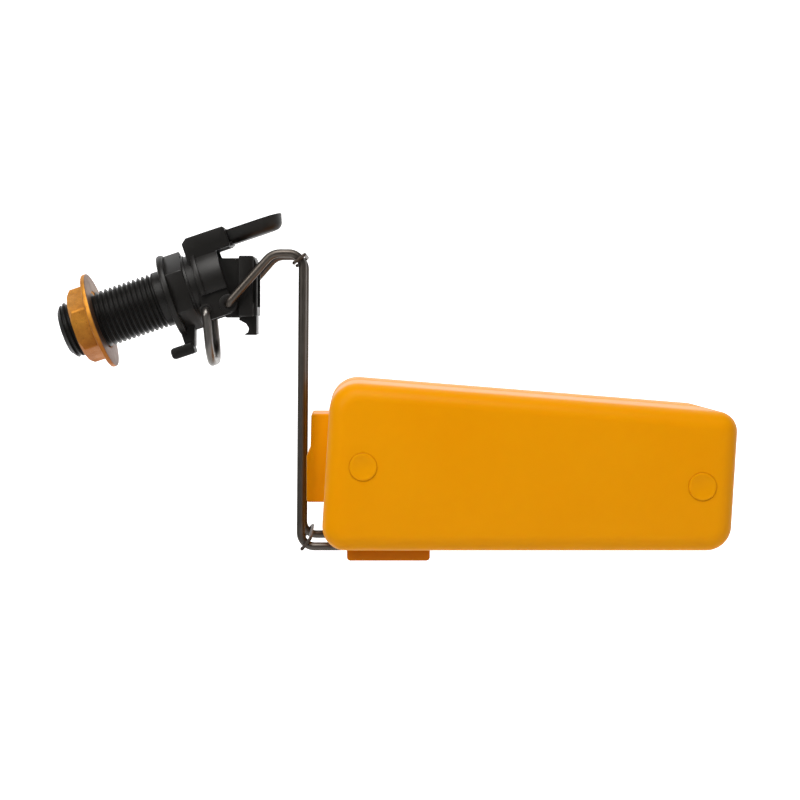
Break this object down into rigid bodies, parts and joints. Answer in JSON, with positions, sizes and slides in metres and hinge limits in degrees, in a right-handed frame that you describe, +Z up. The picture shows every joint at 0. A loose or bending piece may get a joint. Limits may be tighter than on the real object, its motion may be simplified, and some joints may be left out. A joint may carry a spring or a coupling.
{
  "type": "float valve",
  "caption": "Float valve for a drinking trough: threaded inlet shank with a flanged backnut, black lever valve, bent wire arm and a hollow orange float that closes the nozzle as it rises.",
  "frame": {"origin": "on the shank's axis, at the flange face that seats on the tank wall", "axes": "+X along the shank's axis towards the outlet and the float, +Z up when the thumb tab is on top, Y across the arm"},
  "size_m": [0.2199, 0.0628, 0.1662],
  "materials": {
    "black_plastic": "satin glass-filled moulding",
    "nozzle_brass": "machined",
    "seal_rubber": "soft matte",
    "nut_brass": "cast, slightly rough",
    "steel_wire": "drawn stainless wire",
    "tie_wire": "thin drawn wire",
    "float_plastic": "moulded polyethylene, soft sheen",
    "clip_plastic": "moulded"
  },
  "bodies": {
    "valve": {"valve_body": "black_plastic", "seat_nozzle": "nozzle_brass", "nozzle_o_ring": "seal_rubber", "arm_bracket": "black_plastic", "thumb_tab": "black_plastic"},
    "nut": {"backnut": "nut_brass"},
    "bail": {"retaining_bail": "steel_wire"},
    "arm": {"rocker": "black_plastic", "pad_carrier": "black_plastic", "valve_pad": "seal_rubber", "arm_frame": "steel_wire", "upper_tie": "tie_wire", "lower_tie": "tie_wire", "float_shell_near": "float_plastic", "float_shell_far": "float_plastic", "plug_front_near": "float_plastic", "plug_rear_near": "float_plastic", "plug_front_far": "float_plastic", "plug_rear_far": "float_plastic", "float_clip": "clip_plastic"}
  },
  "joints": [
    {"name": "nut_travel", "type": "slide", "parent": "valve", "child": "nut", "axis": [1, 0, 0], "range_m": [-0.045, 0.023]},
    {"name": "bail_swing", "type": "hinge", "parent": "valve", "child": "bail", "pos_m": [0.0124, 0, -0.0097], "axis": [0, 1, 0], "range_deg": [-45, 20]},
    {"name": "arm_swing", "type": "hinge", "parent": "valve", "child": "arm", "pos_m": [0.0209, 0, -0.00975], "axis": [0, -1, 0], "range_deg": [0, 18.65]}
  ]
}
